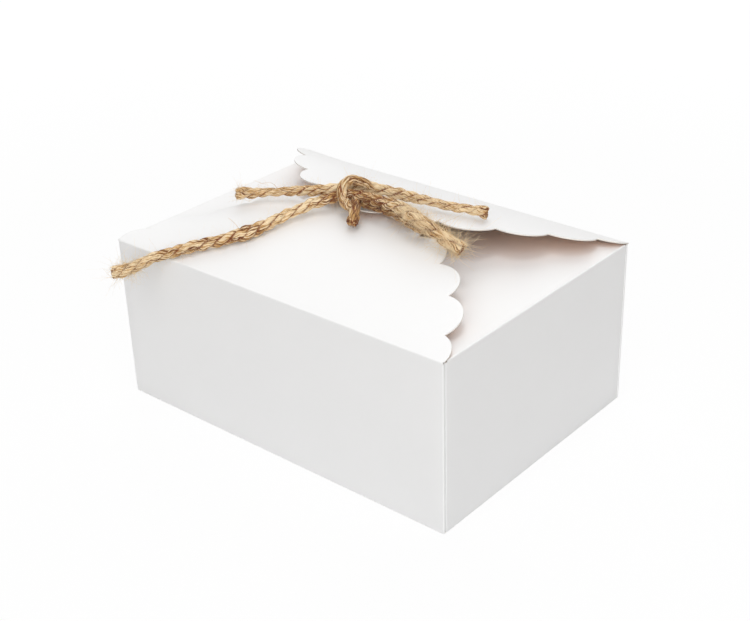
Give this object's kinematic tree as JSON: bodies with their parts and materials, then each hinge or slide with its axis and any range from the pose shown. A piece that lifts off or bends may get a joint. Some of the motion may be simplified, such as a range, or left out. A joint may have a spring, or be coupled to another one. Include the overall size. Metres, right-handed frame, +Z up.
{
  "type": "cake box",
  "caption": "Folded card cake box with bowed scalloped lid flaps, dust flaps and gusset corners, tied with jute twine.",
  "frame": {"origin": "middle of the base panel's underside, under the middle of the whole box", "axes": "+X along the front wall, +Y from the front wall to the back wall, +Z up"},
  "size_m": [0.178, 0.1476, 0.1056],
  "materials": {
    "card": "matte coated white card",
    "twine": "laid natural jute"
  },
  "bodies": {
    "tray": {"base_panel": "card", "front_wall": "card", "back_wall": "card", "left_wall": "card", "right_wall": "card", "front_left_gusset_outer": "card", "front_left_gusset_inner": "card", "front_right_gusset_outer": "card", "front_right_gusset_inner": "card", "back_left_gusset_outer": "card", "back_left_gusset_inner": "card", "back_right_gusset_outer": "card", "back_right_gusset_inner": "card"},
    "front_lid": {"front_flap": "card"},
    "back_lid": {"back_flap": "card", "twine_knot": "twine", "twine_tail_long": "twine", "twine_tail_short": "twine", "twine_end_back": "twine", "twine_end_front": "twine", "twine_tuck": "twine"},
    "left_dust_flap": {"left_flap": "card"},
    "right_dust_flap": {"right_flap": "card"}
  },
  "joints": [
    {"name": "back_lid_fold", "type": "hinge", "parent": "tray", "child": "back_lid", "pos_m": [0, 0.064, 0.076], "axis": [-1, 0, 0], "range_deg": [0, 180]},
    {"name": "front_lid_fold", "type": "hinge", "parent": "tray", "child": "front_lid", "pos_m": [0, -0.064, 0.076], "axis": [1, 0, 0], "range_deg": [0, 144]},
    {"name": "left_dust_fold", "type": "hinge", "parent": "tray", "child": "left_dust_flap", "pos_m": [-0.089, 0, 0.076], "axis": [0, -1, 0], "range_deg": [0, 90]},
    {"name": "right_dust_fold", "type": "hinge", "parent": "tray", "child": "right_dust_flap", "pos_m": [0.089, 0, 0.076], "axis": [0, 1, 0], "range_deg": [0, 90]}
  ],
  "couplings": [
    {"joint": "front_lid_fold", "follows": "back_lid_fold", "ratio": 0.8},
    {"joint": "left_dust_fold", "follows": "back_lid_fold", "ratio": 0.5},
    {"joint": "right_dust_fold", "follows": "back_lid_fold", "ratio": 0.5}
  ]
}
